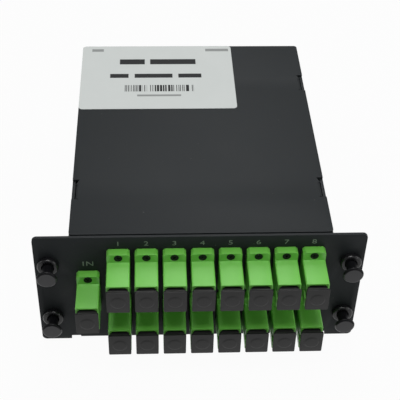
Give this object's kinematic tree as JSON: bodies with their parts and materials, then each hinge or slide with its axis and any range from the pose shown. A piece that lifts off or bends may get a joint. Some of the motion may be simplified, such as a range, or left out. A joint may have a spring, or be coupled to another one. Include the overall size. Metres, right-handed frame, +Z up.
{
  "type": "fibre splitter module",
  "caption": "Folded steel box behind a flanged front panel with one input port and two rows of output ports, all capped, and push-in fixings.",
  "frame": {"origin": "centre of the four fixings, on the front panel's rear face", "axes": "+X along the panel, to the right as the ports are faced; +Y from the panel back into the box; +Z up"},
  "size_m": [0.13, 0.1521, 0.0581],
  "materials": {
    "case_steel": "fine-textured charcoal powder coat on folded steel sheet",
    "label_film": "pale matt film with faint print",
    "adapter_green": "satin moulded green plastic",
    "cap_black": "soft black plastic with a fine moulded texture",
    "screw_black": "black plated steel",
    "sleeve_white": "polished white ceramic",
    "plug_green": "satin moulded green plastic",
    "fixing_black": "black nylon, satin faces and glossy rings",
    "fibre_white": "white fibre jacket",
    "guide_plastic": "natural nylon clip",
    "module_steel": "plain steel",
    "foam_grey": "closed-cell foam"
  },
  "bodies": {
    "case": {"tray": "case_steel", "cover": "case_steel", "label": "label_film", "adapter_in": "adapter_green", "adapter_01": "adapter_green", "adapter_02": "adapter_green", "adapter_03": "adapter_green", "adapter_04": "adapter_green", "adapter_05": "adapter_green", "adapter_06": "adapter_green", "adapter_07": "adapter_green", "adapter_08": "adapter_green", "adapter_09": "adapter_green", "adapter_10": "adapter_green", "adapter_11": "adapter_green", "adapter_12": "adapter_green", "adapter_13": "adapter_green", "adapter_14": "adapter_green", "adapter_15": "adapter_green", "adapter_16": "adapter_green", "adapter_screws": "screw_black", "sleeve_holders": "plug_green", "alignment_sleeves": "sleeve_white", "inner_plugs": "plug_green", "grommet_upper_left": "fixing_black", "grommet_lower_left": "fixing_black", "grommet_upper_right": "fixing_black", "grommet_lower_right": "fixing_black", "fibre_loop": "fibre_white", "fibre_guides": "guide_plastic", "fibre_tails": "fibre_white", "splitter_module": "module_steel", "module_pad": "foam_grey"},
    "plunger_upper_left_body": {"plunger_upper_left": "fixing_black"},
    "plunger_lower_left_body": {"plunger_lower_left": "fixing_black"},
    "plunger_upper_right_body": {"plunger_upper_right": "fixing_black"},
    "plunger_lower_right_body": {"plunger_lower_right": "fixing_black"},
    "cap_in": {"dust_cap_in": "cap_black"},
    "cap_01": {"dust_cap_01": "cap_black"},
    "cap_02": {"dust_cap_02": "cap_black"},
    "cap_03": {"dust_cap_03": "cap_black"},
    "cap_04": {"dust_cap_04": "cap_black"},
    "cap_05": {"dust_cap_05": "cap_black"},
    "cap_06": {"dust_cap_06": "cap_black"},
    "cap_07": {"dust_cap_07": "cap_black"},
    "cap_08": {"dust_cap_08": "cap_black"},
    "cap_09": {"dust_cap_09": "cap_black"},
    "cap_10": {"dust_cap_10": "cap_black"},
    "cap_11": {"dust_cap_11": "cap_black"},
    "cap_12": {"dust_cap_12": "cap_black"},
    "cap_13": {"dust_cap_13": "cap_black"},
    "cap_14": {"dust_cap_14": "cap_black"},
    "cap_15": {"dust_cap_15": "cap_black"},
    "cap_16": {"dust_cap_16": "cap_black"}
  },
  "joints": [
    {"name": "push_upper_left", "type": "slide", "parent": "case", "child": "plunger_upper_left_body", "axis": [0, 1, 0], "range_m": [0, 0.0048]},
    {"name": "push_lower_left", "type": "slide", "parent": "case", "child": "plunger_lower_left_body", "axis": [0, 1, 0], "range_m": [0, 0.0048]},
    {"name": "push_upper_right", "type": "slide", "parent": "case", "child": "plunger_upper_right_body", "axis": [0, 1, 0], "range_m": [0, 0.0048]},
    {"name": "push_lower_right", "type": "slide", "parent": "case", "child": "plunger_lower_right_body", "axis": [0, 1, 0], "range_m": [0, 0.0048]},
    {"name": "pull_cap_in", "type": "slide", "parent": "case", "child": "cap_in", "axis": [0, -1, 0], "range_m": [0, 0.01]},
    {"name": "pull_cap_01", "type": "slide", "parent": "case", "child": "cap_01", "axis": [0, -1, 0], "range_m": [0, 0.01]},
    {"name": "pull_cap_02", "type": "slide", "parent": "case", "child": "cap_02", "axis": [0, -1, 0], "range_m": [0, 0.01]},
    {"name": "pull_cap_03", "type": "slide", "parent": "case", "child": "cap_03", "axis": [0, -1, 0], "range_m": [0, 0.01]},
    {"name": "pull_cap_04", "type": "slide", "parent": "case", "child": "cap_04", "axis": [0, -1, 0], "range_m": [0, 0.01]},
    {"name": "pull_cap_05", "type": "slide", "parent": "case", "child": "cap_05", "axis": [0, -1, 0], "range_m": [0, 0.01]},
    {"name": "pull_cap_06", "type": "slide", "parent": "case", "child": "cap_06", "axis": [0, -1, 0], "range_m": [0, 0.01]},
    {"name": "pull_cap_07", "type": "slide", "parent": "case", "child": "cap_07", "axis": [0, -1, 0], "range_m": [0, 0.01]},
    {"name": "pull_cap_08", "type": "slide", "parent": "case", "child": "cap_08", "axis": [0, -1, 0], "range_m": [0, 0.01]},
    {"name": "pull_cap_09", "type": "slide", "parent": "case", "child": "cap_09", "axis": [0, -1, 0], "range_m": [0, 0.01]},
    {"name": "pull_cap_10", "type": "slide", "parent": "case", "child": "cap_10", "axis": [0, -1, 0], "range_m": [0, 0.01]},
    {"name": "pull_cap_11", "type": "slide", "parent": "case", "child": "cap_11", "axis": [0, -1, 0], "range_m": [0, 0.01]},
    {"name": "pull_cap_12", "type": "slide", "parent": "case", "child": "cap_12", "axis": [0, -1, 0], "range_m": [0, 0.01]},
    {"name": "pull_cap_13", "type": "slide", "parent": "case", "child": "cap_13", "axis": [0, -1, 0], "range_m": [0, 0.01]},
    {"name": "pull_cap_14", "type": "slide", "parent": "case", "child": "cap_14", "axis": [0, -1, 0], "range_m": [0, 0.01]},
    {"name": "pull_cap_15", "type": "slide", "parent": "case", "child": "cap_15", "axis": [0, -1, 0], "range_m": [0, 0.01]},
    {"name": "pull_cap_16", "type": "slide", "parent": "case", "child": "cap_16", "axis": [0, -1, 0], "range_m": [0, 0.01]}
  ]
}
